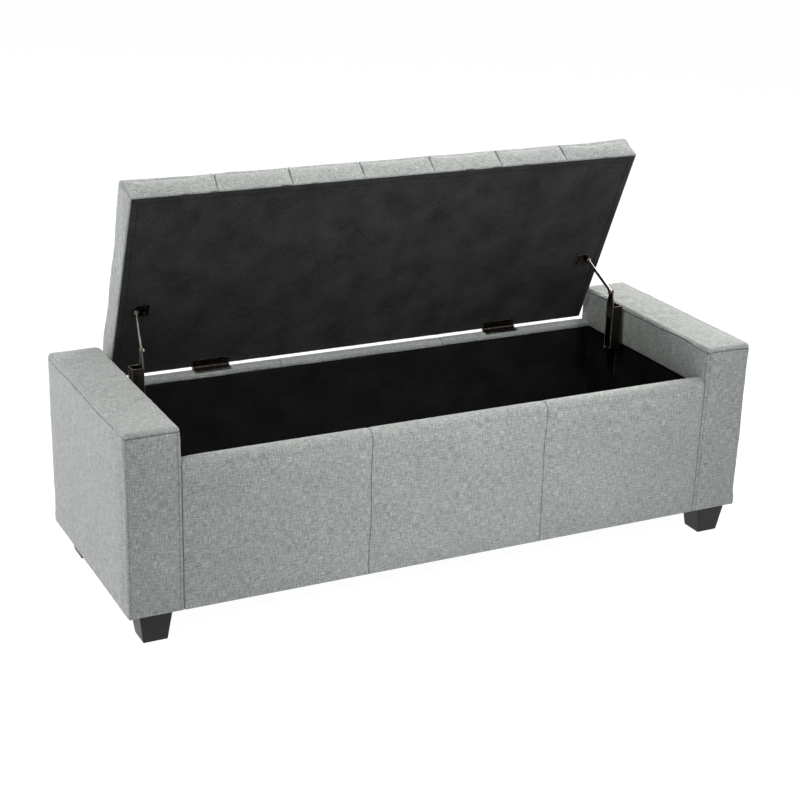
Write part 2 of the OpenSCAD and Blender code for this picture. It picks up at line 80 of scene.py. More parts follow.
def solids_of(node, closed=False):
    """Lowest and highest corner of each separate solid of a CAD node, in millimetres."""
    points = node_points(node, closed)
    spot = np.unique(np.round(points, 3), axis=0, return_inverse=True)[1].ravel()
    parent = list(range(spot.max() + 1))

    def root(i):
        while parent[i] != i:
            parent[i] = parent[parent[i]]
            i = parent[i]
        return i

    for polygon in frame["nodes"][node].data.polygons:
        for vertex in polygon.vertices[1:]:
            parent[root(spot[vertex])] = root(spot[polygon.vertices[0]])
    group = np.array([root(i) for i in spot])
    return [(points[group == g].min(0), points[group == g].max(0)) for g in np.unique(group)]


# ---------- sizes ----------

# The padding's thickness, the lining's top edge and the feet's width at the floor are as in
# part.scad. Its covers have no seams, so the seams' places come from the photo.
PAD = 9.5
LINING_TOP = 324.0
FOOT_BOTTOM = 46.0
FRONT_SEAM_X = 184.0
LID_COLUMN = 147.5

ARM_LO, ARM_HI = node_box("arm_cover_right")
LID_LO, LID_HI = node_box("lid_cover", closed=True)

FEET = ["foot_%s_%s" % (row, word) for row in ("front", "rear") for word in ("left", "right")]

# ---------- numbers ----------

# Points closer than ON to a plane lie on it, and FAR stands for a seam that isn't on a point's side
ON = 1e-6
FAR = 99.0


def smooth(t):
    """0 below 0, 1 above 1, and a smooth step between."""
    t = np.clip(t, 0, 1)
    return t * t * (3 - 2 * t)


def bell(d, width):
    """1 where d is 0, and next to nothing beyond twice the width."""
    return np.exp(-((d / width) ** 2))


def fade(d, reach):
    """1 where d is 0, and ever less farther away."""
    return np.exp(-d / reach)


def unit(vectors):
    """Vectors made one long, where they have a length."""
    return vectors / np.maximum(np.linalg.norm(vectors, axis=1, keepdims=True), 1e-9)


def ripple(p, wavelength, seed):
    """A random field over the points p with about unit variance, made of plane waves."""
    waves = 14
    rng = np.random.default_rng(seed)
    p = np.asarray(p, float).reshape(len(p), -1)
    d = unit(rng.normal(size=(waves, p.shape[1])))
    k = d * 2 * np.pi / wavelength * rng.uniform(0.7, 1.4, (waves, 1))
    return np.sin(p @ k.T + rng.uniform(0, 2 * np.pi, waves)).sum(1) * math.sqrt(2 / waves)


def graded(marks, step, growth=0.3):
    """Positions through all the marks (place, spacing there), at most step apart elsewhere.

    growth is how fast the spacing widens away from a mark.
    """
    marks = sorted(marks)
    out = [marks[0][0]]
    for (a, fa), (b, fb) in zip(marks, marks[1:]):
        t = np.linspace(a, b, 300)
        h = np.minimum(step, np.minimum(fa + growth * (t - a), fb + growth * (b - t)))
        n = np.concatenate([[0], np.cumsum((1 / h[1:] + 1 / h[:-1]) / 2 * np.diff(t))])
        # A remainder below a fifth of a step gets no step of its own
        count = max(1, math.ceil(n[-1] - 0.2))
        out += list(np.interp(np.linspace(0, n[-1], count + 1)[1:], n, t))
    return np.array(out)


def groove(d, depth, width, ridge=0.3):
    """Height of a sewn seam's surface at distance d: a narrow valley with a slight ridge beside it."""
    return -depth * bell(d, width) + ridge * bell(d - 4.0, 2.2)


def puff(distances, reach):
    """0 on a seam and 1 far from all seams."""
    full = 1.0
    for d in distances:
        full = full * (1 - fade(np.abs(d), reach))
    return full


def nearest_of(values, places):
    """How far each value is from the nearest of the places."""
    return np.min([np.abs(values - place) for place in places], axis=0)


# ---------- points on a box ----------


def on_low(p, lo, axis):
    """Which points lie on the box's low side across an axis."""
    return p[:, axis] < lo[axis] + ON


def on_high(p, hi, axis):
    """Which points lie on the box's high side across an axis."""
    return p[:, axis] > hi[axis] - ON


def on_edges(p, lo, hi):
    """Which points lie on two or more sides of the box at once."""
    return ((np.abs(p - lo) < ON) | (np.abs(p - hi) < ON)).sum(1) > 1


def to_side(p, lo, hi, axes=(0, 1)):
    """How far each point is from the nearest side of the box across the axes."""
    return np.min([np.minimum(p[:, a] - lo[a], hi[a] - p[:, a]) for a in axes], axis=0)


# ---------- meshes ----------

FACES = ("-x", "+x", "-y", "+y", "-z", "+z")


class Shell:
    """Lattice points on a box's surface, with quads on the chosen faces, welded at the edges."""

    def __init__(self, xs, ys, zs, faces=FACES):
        self.lines = [np.asarray(v, float) for v in (xs, ys, zs)]
        n = [len(v) for v in self.lines]
        ids = np.full(n, -1, int)
        picks = {}
        for face in faces:
            axis = "xyz".index(face[1])
            pick = [slice(None)] * 3
            pick[axis] = 0 if face[0] == "-" else n[axis] - 1
            picks[face] = tuple(pick)
            ids[picks[face]] = 0
        used = np.argwhere(ids == 0)
        ids[tuple(used.T)] = np.arange(len(used))
        self.p = np.stack([self.lines[a][used[:, a]] for a in range(3)], 1)
        self.grids = {}
        quads, flats = [], []
        for face, pick in picks.items():
            g = self.grids[face] = ids[pick]
            axis = "xyz".index(face[1])
            q = np.stack([g[:-1, :-1], g[1:, :-1], g[1:, 1:], g[:-1, 1:]], -1).reshape(-1, 4)
            if (face[0] == "-") != (axis == 1):
                q = q[:, ::-1]
            quads.append(q)
            flats.append(np.full(len(q), axis))
        self.quads = np.concatenate(quads)
        self.quad_axis = np.concatenate(flats)

    def uv(self, seed):
        """Cloth coordinates in metres for every quad's corners, shifted for each direction of faces."""
        rng = np.random.default_rng(seed)
        corners = self.p[self.quads]
        out = np.empty(corners.shape[:2] + (2,))
        for axis in range(3):
            u, v = {0: (1, 2), 1: (0, 2), 2: (0, 1)}[axis]
            pick = self.quad_axis == axis
            out[pick] = corners[pick][:, :, (u, v)] + rng.uniform(0, 400, 2)
        return out * MM


def round_box(p, lo, hi, r):
    """Points of a box's surface moved to the same box with its edges rounded, and their normals."""
    core = np.clip(p, lo + r, hi - r)
    n = unit(p - core)
    return core + r * n, n


def new_object(name, data):
    """An object with the given data, added to the scene."""
    obj = bpy.data.objects.new(name, data)
    bpy.context.scene.collection.objects.link(obj)
    return obj


def build(name, verts_mm, quads, material, uv=None, seam=None, transform=None):
    """A mesh object from arrays, smooth shaded."""
    mesh = bpy.data.meshes.new(name)
    verts = np.asarray(verts_mm, float) * MM
    if transform is not None:
        m = np.array(transform)
        verts = verts @ m[:3, :3].T + m[:3, 3]
    mesh.from_pydata(verts.tolist(), [], [list(map(int, q)) for q in quads])
    mesh.polygons.foreach_set("use_smooth", [True] * len(mesh.polygons))
    if uv is not None:
        layer = mesh.uv_layers.new(name="cloth")
        layer.data.foreach_set("uv", np.asarray(uv, np.float32).ravel())
    # The seam attribute weights the painted shade that the materials put into the colour along seams and folds
    if seam is not None:
        attribute = mesh.attributes.new("seam", "FLOAT", "POINT")
        attribute.data.foreach_set("value", np.asarray(seam, np.float32))
    mesh.materials.append(material)
    mesh.update()
    return new_object(name, mesh)


def normals_of(verts, quads):
    """Unit vertex normals of a quad mesh."""
    a = verts[quads[:, 2]] - verts[quads[:, 0]]
    b = verts[quads[:, 3]] - verts[quads[:, 1]]
    face = np.cross(a, b)
    out = np.zeros_like(verts)
    for k in range(4):
        np.add.at(out, quads[:, k], face)
    return unit(out)


# ---------- cloth simulation ----------

# The coarse lattice's spacing, the frames the cloth runs for, and the share it is cut too large
CLOTH_STEP = 9.0
CLOTH_FRAMES = 20
CLOTH_SLACK = 0.004


def spline_weights(knots, places):
    """The matrix that takes values at the knots to a natural cubic spline's values at the places."""
    n = len(knots)
    h = np.diff(knots)
    a, b = np.eye(n), np.zeros((n, n))
    for i in range(1, n - 1):
        a[i, i - 1 : i + 2] = h[i - 1], 2 * (h[i - 1] + h[i]), h[i]
        b[i, i - 1 : i + 2] = 6 / h[i - 1], -6 / h[i - 1] - 6 / h[i], 6 / h[i]
    bend = np.linalg.solve(a, b)
    k = np.clip(np.searchsorted(knots, places, side="right") - 1, 0, n - 2)
    t = (places - knots[k]) / h[k]
    rows = np.arange(len(places))
    out = np.zeros((len(places), n))
    out[rows, k] = 1 - t
    out[rows, k + 1] = t
    out += (((1 - t) ** 3 - (1 - t)) * h[k] ** 2 / 6)[:, None] * bend[k]
    out += ((t**3 - t) * h[k] ** 2 / 6)[:, None] * bend[k + 1]
    return out


def cloth_places(low, high):
    """Evenly spaced places between two marks, about one step of the coarse lattice apart."""
    return np.linspace(low, high, max(1, round((high - low) / CLOTH_STEP)) + 1)


def swell(fine, marks, shape, sewn, pressure, cap, seed):
    """How far the points of a cover's lattice move when its filling pushes it out between its seams.

    The cloth runs on a coarser lattice through the same marks: shape gives its points' places and
    normals, sewn says which of them are held, and cap is the largest move.
    """
    lines = [np.unique(np.concatenate([cloth_places(*pair) for pair in zip(m, m[1:])])) for m in marks]
    coarse = Shell(*lines)
    start, normals = shape(coarse)
    held = sewn(coarse.p)
    # A slightly uneven start lets the folds fall unevenly too
    start += 0.15 * normals * (~held * ripple(coarse.p, 60, seed))[:, None]
    obj = build("cloth_trial", start, coarse.quads, FABRIC)
    group = obj.vertex_groups.new(name="sewn")
    group.add(np.flatnonzero(held).tolist(), 1.0, "REPLACE")
    cloth = obj.modifiers.new("cloth", "CLOTH")
    settings = cloth.settings
    settings.quality = 5
    settings.mass = 0.3
    settings.tension_stiffness = settings.compression_stiffness = 12
    settings.shear_stiffness = 5
    settings.bending_stiffness = 4
    settings.vertex_group_mass = "sewn"
    settings.use_pressure = True
    settings.uniform_pressure_force = pressure
    settings.shrink_min = -CLOTH_SLACK
    settings.effector_weights.gravity = 0
    cloth.collision_settings.use_collision = False
    cloth.point_cache.frame_start = 1
    cloth.point_cache.frame_end = CLOTH_FRAMES
    scene = bpy.context.scene
    for step in range(1, CLOTH_FRAMES + 1):
        scene.frame_set(step)
    shown = obj.evaluated_get(bpy.context.evaluated_depsgraph_get()).data
    end = np.empty(len(shown.vertices) * 3)
    shown.vertices.foreach_get("co", end)
    move = end.reshape(-1, 3) / MM - start
    bpy.data.objects.remove(obj)
    scene.frame_set(1)
    size = np.maximum(np.linalg.norm(move, axis=1, keepdims=True), 1e-6)
    move *= cap * np.tanh(size / cap) / size
    weights = [spline_weights(c, f) for c, f in zip(coarse.lines, fine.lines)]
    out = np.zeros_like(fine.p)
    for face, grid in coarse.grids.items():
        u, v = (axis for axis in range(3) if axis != "xyz".index(face[1]))
        out[fine.grids[face]] = np.einsum("ai,bj,ijk->abk", weights[u], weights[v], move[grid], optimize=True)
    # The filling hardly lets the cloth sink in
    normals = shape(fine)[1]
    sunk = np.minimum((out * normals).sum(1, keepdims=True), 0)
    return out - 0.9 * sunk * normals


# ---------- materials ----------


class Nodes:
    """A small helper for one node material."""

    def __init__(self, name):
        self.material = bpy.data.materials.new(name)
        self.material.use_nodes = True
        self.tree = self.material.node_tree
        self.tree.nodes.clear()
        self.shader = self.add("ShaderNodeBsdfPrincipled")
        out = self.add("ShaderNodeOutputMaterial")
        self.link(self.shader.outputs[0], out.inputs["Surface"])

    def add(self, kind, **settings):
        node = self.tree.nodes.new(kind)
        for key, value in settings.items():
            setattr(node, key, value)
        return node

    def cloth(self):
        """The cloth coordinates that build gives a mesh."""
        return self.add("ShaderNodeUVMap", uv_map="cloth").outputs[0]

    def seam(self):
        """How near a point is to a seam or fold, as build stores it: the weight of the painted shade that darkens
        the colour there.
        """
        return self.add("ShaderNodeAttribute", attribute_name="seam").outputs["Fac"]

    def place(self):
        """Coordinates that go with the object."""
        return self.add("ShaderNodeTexCoord").outputs["Object"]

    def put(self, socket, value):
        """Links a socket to another node's, or gives it a value."""
        if isinstance(value, bpy.types.NodeSocket):
            self.link(value, socket)
        else:
            socket.default_value = value

    def link(self, a, b):
        self.tree.links.new(a, b)

    def fill(self, node, **values):
        """Values or links for a node's sockets, with _ for each space in a socket's name."""
        for key, value in values.items():
            self.put(node.inputs[key.replace("_", " ")], value)

    def set(self, **values):
        """Values or links for the shader."""
        self.fill(self.shader, **values)

    def math(self, operation, a, b):
        node = self.add("ShaderNodeMath", operation=operation)
        self.put(node.inputs[0], a)
        self.put(node.inputs[1], b)
        return node.outputs[0]

    def blend(self, *parts):
        """The sum of (value, share) pairs."""
        terms = [self.math("MULTIPLY", value, share) for value, share in parts]
        total = terms[0]
        for term in terms[1:]:
            total = self.math("ADD", total, term)
        return total

    def noise(self, vector, scale, detail, roughness):
        node = self.add("ShaderNodeTexNoise")
        self.fill(node, Vector=vector, Scale=scale, Detail=detail, Roughness=roughness)
        return node.outputs["Fac"]

    def stretch(self, vector, scale):
        node = self.add("ShaderNodeMapping")
        self.fill(node, Vector=vector, Scale=scale)
        return node.outputs[0]

    def ramp(self, fac, stops):
        node = self.add("ShaderNodeValToRGB")
        self.put(node.inputs[0], fac)
        ramp = node.color_ramp
        while len(ramp.elements) < len(stops):
            ramp.elements.new(0.5)
        for element, (place, colour) in zip(ramp.elements, stops):
            element.position = place
            element.color = (*colour, 1)
        return node.outputs[0]

    def mix(self, fac, a, b, blend="MIX"):
        node = self.add("ShaderNodeMix", data_type="RGBA", blend_type=blend)
        # A mix node's colours are its inputs 6 and 7 and its output 2
        self.put(node.inputs[0], fac)
        self.put(node.inputs[6], a)
        self.put(node.inputs[7], b if isinstance(b, bpy.types.NodeSocket) else (*b, 1))
        return node.outputs[2]

    def bump(self, height, distance, strength):
        node = self.add("ShaderNodeBump")
        self.fill(node, Distance=distance, Strength=strength, Height=height)
        self.set(Normal=node.outputs[0])


def fabric_material():
    """Heathered linen-look weave: mixed threads both ways, slubs, and painted shade darkening the sewn seams'
    grooves.
    """
    m = Nodes("upholstery_fabric")
    uv = m.cloth()
    warp = m.noise(m.stretch(uv, (1.0, 0.12, 1.0)), 520.0, 2.0, 0.7)
    weft = m.noise(m.stretch(uv, (0.12, 1.0, 1.0)), 520.0, 2.0, 0.7)
    fleck = m.noise(uv, 620.0, 2.0, 0.7)
    cloud = m.noise(uv, 9.0, 3.0, 0.55)
    heather = m.blend((warp, 0.30), (weft, 0.32), (fleck, 0.38))
    tone = m.ramp(heather, [(0.30, (0.043, 0.048, 0.049)), (0.44, (0.158, 0.174, 0.173)),
                            (0.54, (0.288, 0.307, 0.300)), (0.68, (0.545, 0.565, 0.546))])
    patch = m.ramp(cloud, [(0.3, (0.94, 0.94, 0.95)), (0.7, (1.04, 1.04, 1.03))])
    colour = m.mix(1.0, tone, patch, "MULTIPLY")
    # Painted shade: the colour darkens towards near black where the seam attribute is high, along seams, folds and
    # tucked ends
    colour = m.mix(m.math("MULTIPLY", m.seam(), 0.66), colour, (0.05, 0.055, 0.055))
    waves = []
    for direction in ("X", "Y"):
        wave = m.add("ShaderNodeTexWave", bands_direction=direction)
        m.fill(wave, Vector=uv, Scale=260.0, Distortion=2.0, Detail=1.0, Detail_Scale=0.4)
        waves.append(wave.outputs["Fac"])
    weave = m.math("MULTIPLY", waves[0], waves[1])
    m.bump(m.blend((weave, 0.6), (heather, 1.2)), 0.0004, 0.7)
    m.set(Base_Color=colour, Roughness=0.92, Specular_IOR_Level=0.25)
    m.set(Sheen_Weight=0.25, Sheen_Roughness=0.5)
    return m.material


def lining_material(name, dark, light):
    """Black non-woven cloth with a fine press pattern, faint fibres, and painted shade darkening its folds."""
    m = Nodes(name)
    uv = m.cloth()
    fibre = m.noise(m.stretch(uv, (1.0, 0.25, 1.0)), 500.0, 3.0, 0.65)
    blotch = m.noise(uv, 14.0, 3.0, 0.6)
    dots = m.add("ShaderNodeTexVoronoi")
    m.fill(dots, Vector=uv, Scale=620.0)
    tone = m.blend((fibre, 0.5), (blotch, 0.5))
    colour = m.ramp(tone, [(0.36, (dark, dark, dark * 1.05)), (0.64, (light, light, light * 1.03))])
    # Painted shade: the colour darkens towards black where the seam attribute is high
    colour = m.mix(m.math("MULTIPLY", m.seam(), 0.5), colour, (0.002, 0.002, 0.002))
    height = m.math("ADD", m.math("MULTIPLY", dots.outputs["Distance"], 0.5), fibre)
    m.bump(height, 0.0003, 0.6)
    m.set(Base_Color=colour, Roughness=0.9, Specular_IOR_Level=10 * light)
    return m.material


def metal_material(name, dark, light, roughness, metallic=1.0):
    """Rolled metal with faint streaks and uneven polish."""
    m = Nodes(name)
    place = m.place()
    streak = m.noise(m.stretch(place, (0.15, 1.0, 1.0)), 900.0, 3.0, 0.6)
    stain = m.noise(place, 120.0, 3.0, 0.6)
    tone = m.blend((streak, 0.4), (stain, 0.6))
    rough = m.math("ADD", m.math("MULTIPLY", stain, 0.25), roughness - 0.12)
    m.set(Base_Color=m.ramp(tone, [(0.3, dark), (0.7, light)]), Roughness=rough, Metallic=metallic)
    m.bump(streak, 0.00005, 0.4)
    return m.material


def plastic_material():
    """Dark moulded plastic with a fine grain."""
    m = Nodes("foot_plastic")
    place = m.place()
    grain = m.noise(place, 1400.0, 2.0, 0.5)
    cloud = m.noise(place, 60.0, 3.0, 0.6)
    m.set(Base_Color=m.ramp(cloud, [(0.3, (0.006, 0.006, 0.0065)), (0.7, (0.013, 0.013, 0.014))]))
    m.set(Roughness=m.math("ADD", m.math("MULTIPLY", cloud, 0.2), 0.32), Specular_IOR_Level=0.25)
    m.bump(grain, 0.0002, 0.25)
    return m.material


def wood_material():
    """Plywood face: stretched grain with darker pores."""
    m = Nodes("plywood")
    place = m.place()
    grain = m.noise(m.stretch(place, (2.0, 30.0, 30.0)), 8.0, 6.0, 0.6)
    pores = m.noise(m.stretch(place, (20.0, 400.0, 400.0)), 6.0, 2.0, 0.5)
    tone = m.blend((grain, 0.7), (pores, 0.3))
    m.set(Base_Color=m.ramp(tone, [(0.3, (0.30, 0.19, 0.10)), (0.7, (0.62, 0.46, 0.28))]))
    m.set(Roughness=m.math("ADD", m.math("MULTIPLY", pores, 0.2), 0.55))
    m.bump(tone, 0.0003, 0.3)
    return m.material


def foam_material():
    """Open-cell polyurethane foam."""
    m = Nodes("foam")
    place = m.place()
    cells = m.noise(place, 900.0, 2.0, 0.7)
    m.set(Base_Color=m.ramp(cells, [(0.3, (0.62, 0.52, 0.30)), (0.7, (0.86, 0.78, 0.55))]))
    m.set(Roughness=m.math("ADD", m.math("MULTIPLY", cells, 0.1), 0.85))
    m.bump(cells, 0.0005, 0.5)
    return m.material


FABRIC = fabric_material()
# Two copies of the same black cloth: the one for the storage bag and dust cover is painted darker, painted shade
# inside and under the box; the lid's is painted lighter, painted light on the underside
LINING_PAINTED_SHADE = lining_material("black_lining_cloth_painted_shade", 0.003, 0.009)
LID_LINING_PAINTED_LIGHT = lining_material("black_lid_cloth_painted_light", 0.008, 0.036)
BRONZE = metal_material("bronze_metal", (0.020, 0.017, 0.015), (0.062, 0.053, 0.046), 0.36)
# Painted highlight: a lighter bronze for the bevels' faces stands in for the light the edges catch
EDGE_HIGHLIGHT_BRONZE = metal_material("bronze_painted_edge_highlight", (0.30, 0.27, 0.22), (0.58, 0.53, 0.45), 0.36, 0.4)
STEEL = metal_material("steel", (0.20, 0.175, 0.15), (0.50, 0.46, 0.41), 0.34)
PLASTIC = plastic_material()
WOOD = wood_material()
FOAM = foam_material()
SLOT_MATERIALS = {
    "upholstery_fabric": FABRIC,
    "lining_cloth": LINING_PAINTED_SHADE,
    "foam": FOAM,
    "plywood": WOOD,
    "foot_plastic": PLASTIC,
    "bronze_metal": BRONZE,
    "steel": STEEL,
}

slot_of = {s["node"]: s["material_slot"] for s in frame["record"]["subparts"]}
for name, node in frame["nodes"].items():
    node.data.materials.clear()
    node.data.materials.append(SLOT_MATERIALS[slot_of[name]])


def dress(obj, body, slot, *nodes):
    """Rides a finished piece on its body, in place of its CAD nodes."""
    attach(obj, body)
    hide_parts(*nodes)
    return obj


# ---------- what the covers share ----------

# JOIN_R rounds the edges where arms and walls meet, LIP_R the folds at the bottom and the lining,
# and below the lining's edge a cover is set back by SET_BACK
JOIN_R = 3.0
LIP_R = 3.0
SET_BACK = PAD - 0.3


def turned_under(p, out, lo, hi, inset=7.0, lift=2.6):
    """Raises the middle of a cover's bottom, so that only the turned-under edge shows."""
    bottom = on_low(p, lo, 2)
    out[bottom, 2] += lift * smooth((to_side(p, lo, hi)[bottom] - inset) / 4.0)


def step_under(p, out, axis, outer, inner, ramp=1.0):
    """Sets the surface back below the lining's edge, squeezing it towards the outer side."""
    fold = np.clip((p[:, 2] - LINING_TOP) / LIP_R, 0, 1) * np.pi / 2
    share = np.abs(out[:, axis] - outer) / abs(inner - outer)
    below = p[:, 2] < LINING_TOP - 0.05
    back = np.where(below, SET_BACK, LIP_R * (1 - np.sin(fold))) * ramp
    out[:, axis] += np.sign(outer - inner) * back * np.clip(share, 0, 1)
    on_inner = share > 0.98
    lip = on_inner & ~below & (p[:, 2] < LINING_TOP + LIP_R)
    out[lip, 2] = (LINING_TOP + LIP_R * (1 - np.cos(fold)))[lip]
    out[on_inner & below & (p[:, 2] > LINING_TOP - 0.5), 2] = LINING_TOP


def step_marks():
    """Lattice levels that the step at the lining's edge needs."""
    return [(LINING_TOP - 0.3, 0.3), (LINING_TOP, 0.5), (LINING_TOP + LIP_R, 1.0)]


# ---------- arms ----------

# The seam round an arm's top is at ARM_SEAM_Z. Corner seams run down the inner side, ARM_CORNER from
# the front and rear. Down the front and rear run a pressed line beside the joint with the wall, at
# ARM_PRESS_X, and an outer corner seam, at ARM_OUTER_X.
ARM_R = 9.0
ARM_SEAM_Z = ARM_HI[2] - 9.0
ARM_PRESS_X = ARM_LO[0] + 6.5
ARM_OUTER_X = ARM_HI[0] - 3.5
ARM_CORNER = 5.0


def arm_lattice():
    """The lattice on the right arm's box, finer at its seams, folds and rounded edges."""
    lo, hi = ARM_LO, ARM_HI
    front_wall, rear_wall = node_box("front_cover"), node_box("rear_cover")
    return Shell(
        graded([(lo[0], 0.6), (lo[0] + JOIN_R, 1.0), (ARM_PRESS_X, 0.4), (hi[0] - ARM_R, 1.5),
                (hi[0], 1.2)], 5),
        graded([(lo[1], 0.7), (lo[1] + ARM_CORNER, 0.6), (lo[1] + ARM_R, 1.5),
                (front_wall[1][1], 2.0), (rear_wall[0][1], 2.0),
                (hi[1] - ARM_R, 1.5), (hi[1] - ARM_CORNER, 0.6), (hi[1], 0.7)], 5),
        graded([(lo[2], 0.6), (lo[2] + LIP_R, 1.0), *step_marks(), (ARM_SEAM_Z, 0.35),
                (hi[2], 1.2)], 5),
    )


def arm_shape(lattice):
    """Places and normals: the inner corners and the bottom edges are tight, the others soft."""
    lo, hi, p = ARM_LO, ARM_HI, lattice.p
    soft, n_soft = round_box(p, lo, hi, ARM_R)
    tight, n_tight = round_box(p, lo, hi, JOIN_R)
    inner = smooth((lo[0] + 30 - p[:, 0]) / 10) * smooth((hi[2] - ARM_R - p[:, 2]) / 14)
    low = smooth((lo[2] + 34 - p[:, 2]) / 20)
    w = np.maximum(inner, low)[:, None]
    return soft + (tight - soft) * w, unit(n_soft + (n_tight - n_soft) * w)


def arm_sewn(p):
    """The box's edges, the seam round the top, the bottom, and the inner side up to the lining."""
    at_seam = np.abs(p[:, 2] - ARM_SEAM_Z) < ON
    tucked = on_low(p, ARM_LO, 0) & (p[:, 2] < LINING_TOP + CLOTH_STEP)
    return on_edges(p, ARM_LO, ARM_HI) | at_seam | on_low(p, ARM_LO, 2) | tucked


def arm_seams(p):
    """Distances to the top seam, the inner corner seam, the pressed line and the outer corner seam."""
    lo, hi = ARM_LO, ARM_HI
    below = p[:, 2] < ARM_SEAM_Z
    at_end = below & (on_low(p, lo, 1) | on_high(p, hi, 1))
    top = np.where(on_high(p, hi, 2), FAR, np.abs(p[:, 2] - ARM_SEAM_Z))
    corner = np.where(on_low(p, lo, 0), to_side(p, lo, hi, [1]), FAR)
    corner = np.where(p[:, 2] < ARM_SEAM_Z + 2, np.abs(corner - ARM_CORNER), FAR)
    press = np.where(at_end, np.abs(p[:, 0] - ARM_PRESS_X), FAR)
    outer = np.where(at_end, np.abs(ARM_OUTER_X - p[:, 0]), FAR)
    return top, corner, press, outer


def arm_fill(p):
    """How far the padding stands proud: 0 along the seams and 1 far from them."""
    lo, hi = ARM_LO, ARM_HI
    from_seam = np.abs(ARM_SEAM_Z - p[:, 2])
    on_inner = on_low(p, lo, 0)
    fill = puff([from_seam, p[:, 2] - lo[2] + 4], 26)
    fill = np.where(on_high(p, hi, 2), puff([to_side(p, lo, hi) + 8], 18), fill)
    fill = np.where(on_inner, puff([from_seam, p[:, 2] - LINING_TOP + 4], 14), fill)
    return np.where(on_inner & (p[:, 2] < LINING_TOP), 0, fill)


def arm_cover(side, word, seed):
    """One arm's cover; the left one is a mirror image of the right one, with folds of its own."""
    lo, hi = ARM_LO, ARM_HI
    shell = arm_lattice()
    p = shell.p
    out, n = arm_shape(shell)
    fill = arm_fill(p)
    is_top = on_high(p, hi, 2)
    marks = [[lo[0], hi[0]], [lo[1], hi[1]], [lo[2], ARM_SEAM_Z, hi[2]]]
    move = swell(shell, marks, arm_shape, arm_sewn, pressure=4.0, cap=4.0, seed=seed)
    top, corner, press, outer = arm_seams(p)
    h = groove(top, 1.8, 1.0) + groove(corner, 1.6, 1.0, 0.1) + groove(press, 0.8, 0.8, 0.2)
    h += groove(outer, 0.7, 1.2, 0.1)
    h += 0.35 * ripple(p, 150, seed) * fill + 0.15 * ripple(p, 42, seed + 1) * fill
    # The cloth puckers along the seam, and faint creases hang from it near the outer front corner
    from_seam = np.abs(ARM_SEAM_Z - p[:, 2])
    pucker = fade(from_seam, 16) * ~is_top * (from_seam > 1.0)
    h += 0.3 * pucker * ripple(p[:, :2], 15, seed + 2)
    crease = bell(hi[0] - p[:, 0] - 24, 16) * fade(from_seam, 28) * on_low(p, lo, 1)
    h -= crease * np.clip(ripple(p[:, :1], 11, seed + 4), -0.4, 1.6) * (from_seam > 1.5)
    h += np.where(p[:, 0] > hi[0] - ARM_R, 0.6, 0.0)
    out = out + n * h[:, None] + move
    # The seam wavers a little up and down
    on_side = 1 - smooth((p[:, 2] - hi[2] + 0.5) / 0.5)
    out[:, 2] += 1.3 * ripple(p[:, :2], 170, seed + 3) * bell(p[:, 2] - ARM_SEAM_Z, 9) * on_side
    step_under(p, out, 0, hi[0], lo[0], smooth((to_side(p, lo, hi, [1]) - 6) / 8))
    turned_under(p, out, lo, hi)
    # Painted shade: the colour darkens along the top seam, the inner corner seams, the pressed lines and the outer
    # corner seams
    seam = bell(top, 1.0) + 0.8 * bell(corner, 1.0)
    seam += 0.75 * bell(press, 0.8) + 0.55 * bell(outer, 1.3)
    quads, uv = shell.quads, shell.uv(seed)
    if side < 0:
        out[:, 0] *= -1
        quads, uv = quads[:, ::-1], uv[:, ::-1]
    obj = build("arm_%s_upholstery" % word, out, quads, FABRIC, uv, np.clip(seam, 0, 1))
    return dress(obj, "carcass", "upholstery_fabric", "arm_cover_" + word, "arm_padding_" + word)


# ---------- front and rear walls ----------


